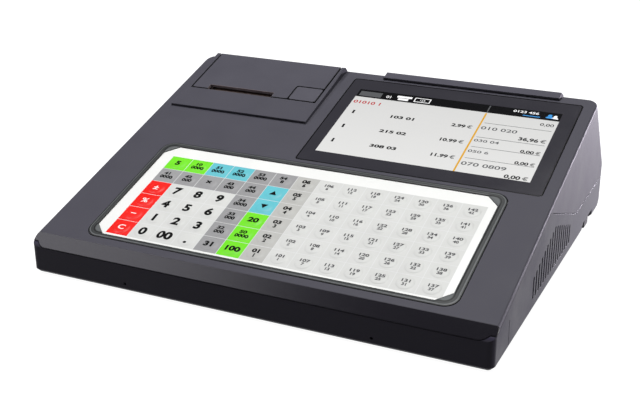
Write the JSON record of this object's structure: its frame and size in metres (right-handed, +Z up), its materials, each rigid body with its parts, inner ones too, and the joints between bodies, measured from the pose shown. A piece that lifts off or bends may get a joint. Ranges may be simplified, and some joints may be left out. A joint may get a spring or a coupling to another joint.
{
  "type": "cash register",
  "caption": "Desk-top electronic cash register with a flat raised-dome keyboard, a colour display, a receipt printer under a hinged lid and a pull-up customer display.",
  "frame": {"origin": "on the table under the middle of the case's bounding box", "axes": "+X to the operator's right, +Y to the rear, +Z up"},
  "size_m": [0.36, 0.316, 0.1091],
  "materials": {
    "cover_plastic": "fine moulded grain, dark anthracite",
    "base_plastic": "fine moulded grain, near black",
    "lid_plastic": "fine moulded grain, dark anthracite",
    "rim_plastic": "satin grey",
    "key_film": "embossed satin film",
    "legend": "printed sheet",
    "membrane": "clear film with printed tracks",
    "steel": "zinc plated sheet",
    "glass_black": "glossy, back printed black",
    "foam": "closed cell foam",
    "lcd": "display module",
    "aluminium": "extruded",
    "pin_steel": "turned",
    "platen_rubber": "ground rubber",
    "gear_plastic": "acetal",
    "motor_shell": "drawn can",
    "tub_plastic": "black moulding",
    "paper": "thermal paper",
    "cardboard": "wound tube",
    "window": "smoked acrylic",
    "board": "printed circuit board",
    "battery": "coin cell",
    "socket_black": "black moulding",
    "socket_steel": "tinned shell",
    "switch_black": "glossy moulding",
    "foot_rubber": "moulded rubber",
    "screw": "zinc plated"
  },
  "bodies": {
    "case": {"base_tray": "base_plastic", "upper_cover": "cover_plastic", "keyboard_rim": "rim_plastic", "keyboard_cover": "key_film", "legend_sheet": "legend", "switch_membrane": "membrane", "keyboard_plate": "steel", "touch_glass": "glass_black", "display_gasket": "foam", "display_panel": "lcd", "display_bracket": "steel", "lid_hinge_pin": "pin_steel", "paper_tub": "tub_plastic", "printer_frame": "steel", "idler_stud": "pin_steel", "printer_motor": "motor_shell", "thermal_head": "aluminium", "tear_bar": "steel", "pop_up_guide": "tub_plastic", "main_board": "board", "backup_battery": "battery", "buzzer": "socket_black", "power_jack": "socket_black", "usb_port": "socket_steel", "network_port": "socket_steel", "drawer_port": "socket_black", "serial_port": "socket_steel", "switch_housing": "switch_black", "rubber_feet": "foot_rubber", "case_screws": "screw", "board_screws": "screw"},
    "printer_lid_body": {"printer_lid": "lid_plastic", "platen_bushes": "gear_plastic"},
    "platen": {"platen_shaft": "pin_steel", "platen_roller": "platen_rubber", "platen_gear": "gear_plastic"},
    "idler": {"idler_gear": "gear_plastic"},
    "motor_rotor": {"motor_pinion": "gear_plastic"},
    "release_button": {"release_button": "lid_plastic"},
    "paper_roll": {"paper_roll": "paper", "roll_core": "cardboard"},
    "pop_up_display": {"pop_up_housing": "cover_plastic", "pop_up_window": "window", "pop_up_module": "lcd"},
    "power_rocker": {"power_rocker": "switch_black"}
  },
  "joints": [
    {"name": "lid_hinge", "type": "hinge", "parent": "case", "child": "printer_lid_body", "pos_m": [-0.10555, 0.12098, 0.08933], "axis": [-1, 0, 0], "range_deg": [0, 95]},
    {"name": "platen_spin", "type": "hinge", "parent": "printer_lid_body", "child": "platen", "pos_m": [-0.1185, 0.06815, 0.08516], "axis": [1, 0, 0], "continuous": true},
    {"name": "idler_spin", "type": "hinge", "parent": "case", "child": "idler", "pos_m": [-0.08025, 0.06922, 0.0717], "axis": [1, 0, 0], "continuous": true},
    {"name": "motor_spin", "type": "hinge", "parent": "case", "child": "motor_rotor", "pos_m": [-0.08025, 0.06118, 0.06494], "axis": [1, 0, 0], "continuous": true},
    {"name": "release_press", "type": "slide", "parent": "case", "child": "release_button", "axis": [0, 0.2937, -0.9559], "range_m": [0, 0.0025], "stiffness_N_per_m": 300},
    {"name": "roll_spin", "type": "hinge", "parent": "case", "child": "paper_roll", "pos_m": [-0.1185, 0.09971, 0.06595], "axis": [1, 0, 0], "continuous": true},
    {"name": "display_lift", "type": "slide", "parent": "case", "child": "pop_up_display", "axis": [0, 0, 1], "range_m": [0, 0.038]},
    {"name": "power_rock", "type": "hinge", "parent": "case", "child": "power_rocker", "pos_m": [-0.12, 0.15282, 0.01732], "axis": [-1, 0, 0], "range_deg": [0, 14]}
  ],
  "couplings": [
    {"joint": "idler_spin", "follows": "platen_spin", "ratio": -0.8},
    {"joint": "motor_spin", "follows": "platen_spin", "ratio": 2}
  ]
}
